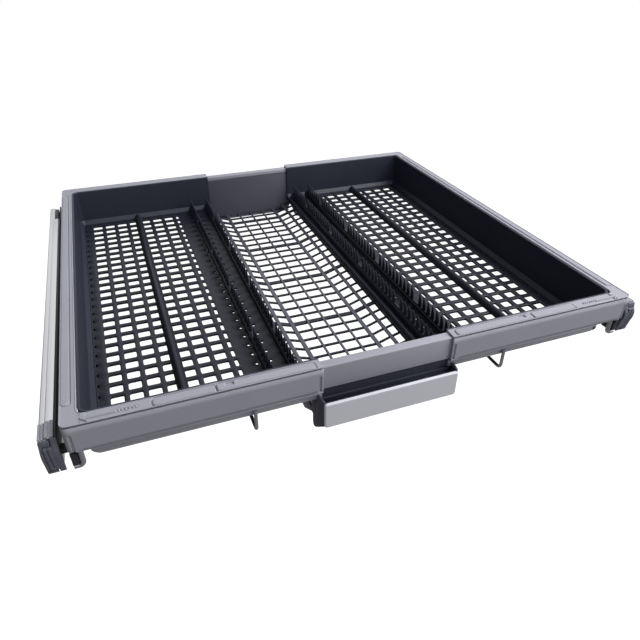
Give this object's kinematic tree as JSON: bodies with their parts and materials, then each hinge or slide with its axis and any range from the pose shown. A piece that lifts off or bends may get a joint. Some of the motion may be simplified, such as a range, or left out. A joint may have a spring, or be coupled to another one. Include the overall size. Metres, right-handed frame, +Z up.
{
  "type": "dishwasher cutlery tray",
  "caption": "Pull-out cutlery tray of a dishwasher: sliding side sections with fold-down tine rows, a deep centre section and telescopic ball rails.",
  "frame": {"origin": "centre of the bounding box in X and Y, on the underside of the centre tub", "axes": "+X to the tray's right, +Y towards the back of the machine, +Z up"},
  "size_m": [0.5344, 0.4832, 0.0706],
  "materials": {
    "frame_grey": "fine grain, grey",
    "handle_light": "satin, light grey",
    "basket_dark": "satin, anthracite",
    "cap_dark": "fine grain, dark grey",
    "cage_plastic": "natural acetal",
    "rail_steel": "stainless, drawn along its length",
    "wire_steel": "drawn stainless wire",
    "ball_steel": "polished"
  },
  "bodies": {
    "rails": {"left_outer_rail": "rail_steel", "right_outer_rail": "rail_steel", "left_outer_rail_cap": "cap_dark", "right_outer_rail_cap": "cap_dark", "left_outer_rail_sleeve": "frame_grey", "right_outer_rail_sleeve": "frame_grey", "left_rear_stop": "cap_dark", "right_rear_stop": "cap_dark"},
    "tray": {"left_inner_rail": "rail_steel", "right_inner_rail": "rail_steel", "left_carrier": "rail_steel", "right_carrier": "rail_steel", "left_carrier_cap": "cap_dark", "right_carrier_cap": "cap_dark", "left_carrier_sleeve": "frame_grey", "right_carrier_sleeve": "frame_grey", "left_hangers": "cap_dark", "right_hangers": "cap_dark", "front_cross_rod": "wire_steel", "rear_cross_rod": "wire_steel", "centre_front_panel": "frame_grey", "centre_rear_panel": "frame_grey", "centre_tub": "basket_dark", "centre_grid": "basket_dark", "handle_face": "handle_light", "handle_body": "basket_dark", "handle_screws": "rail_steel"},
    "middle_slides": {"left_middle_rail": "rail_steel", "right_middle_rail": "rail_steel", "left_middle_rail_plug": "cap_dark", "right_middle_rail_plug": "cap_dark"},
    "outer_cages": {"left_outer_ball_cage": "cage_plastic", "right_outer_ball_cage": "cage_plastic", "outer_race_balls": "ball_steel"},
    "inner_cages": {"left_inner_ball_cage": "cage_plastic", "right_inner_ball_cage": "cage_plastic", "inner_race_balls": "ball_steel"},
    "left_section": {"left_frame": "frame_grey", "left_liner": "basket_dark", "left_floor": "basket_dark", "left_hinge_wires": "wire_steel", "left_rest_rib": "basket_dark", "left_inner_cradle_wire": "wire_steel", "left_rod_bushes": "basket_dark"},
    "right_section": {"right_frame": "frame_grey", "right_liner": "basket_dark", "right_floor": "basket_dark", "right_hinge_wires": "wire_steel", "right_rest_rib": "basket_dark", "right_inner_cradle_wire": "wire_steel", "right_rod_bushes": "basket_dark"},
    "left_inner_tines": {"left_inner_tine_row": "basket_dark"},
    "left_outer_tines": {"left_outer_tine_row": "basket_dark"},
    "right_inner_tines": {"right_inner_tine_row": "basket_dark"},
    "right_outer_tines": {"right_outer_tine_row": "basket_dark"}
  },
  "joints": [
    {"name": "tray_slide", "type": "slide", "parent": "rails", "child": "tray", "axis": [0, -1, 0], "range_m": [0, 0.4]},
    {"name": "middle_rail_slide", "type": "slide", "parent": "rails", "child": "middle_slides", "axis": [0, -1, 0], "range_m": [0, 0.2]},
    {"name": "outer_cage_slide", "type": "slide", "parent": "rails", "child": "outer_cages", "axis": [0, -1, 0], "range_m": [0, 0.1]},
    {"name": "inner_cage_slide", "type": "slide", "parent": "rails", "child": "inner_cages", "axis": [0, -1, 0], "range_m": [0, 0.3]},
    {"name": "left_section_slide", "type": "slide", "parent": "tray", "child": "left_section", "axis": [1, 0, 0], "range_m": [0, 0.048]},
    {"name": "right_section_slide", "type": "slide", "parent": "tray", "child": "right_section", "axis": [-1, 0, 0], "range_m": [0, 0.048]},
    {"name": "left_inner_tine_fold", "type": "hinge", "parent": "left_section", "child": "left_inner_tines", "pos_m": [-0.066, 0, 0.0292], "axis": [0, -1, 0], "range_deg": [0, 90]},
    {"name": "left_outer_tine_fold", "type": "hinge", "parent": "left_section", "child": "left_outer_tines", "pos_m": [-0.0875, 0, 0.0292], "axis": [0, -1, 0], "range_deg": [0, 90]},
    {"name": "right_inner_tine_fold", "type": "hinge", "parent": "right_section", "child": "right_inner_tines", "pos_m": [0.066, 0, 0.0292], "axis": [0, 1, 0], "range_deg": [0, 90]},
    {"name": "right_outer_tine_fold", "type": "hinge", "parent": "right_section", "child": "right_outer_tines", "pos_m": [0.0875, 0, 0.0292], "axis": [0, 1, 0], "range_deg": [0, 90]}
  ],
  "couplings": [
    {"joint": "middle_rail_slide", "follows": "tray_slide", "ratio": 0.5},
    {"joint": "outer_cage_slide", "follows": "tray_slide", "ratio": 0.25},
    {"joint": "inner_cage_slide", "follows": "tray_slide", "ratio": 0.75}
  ]
}
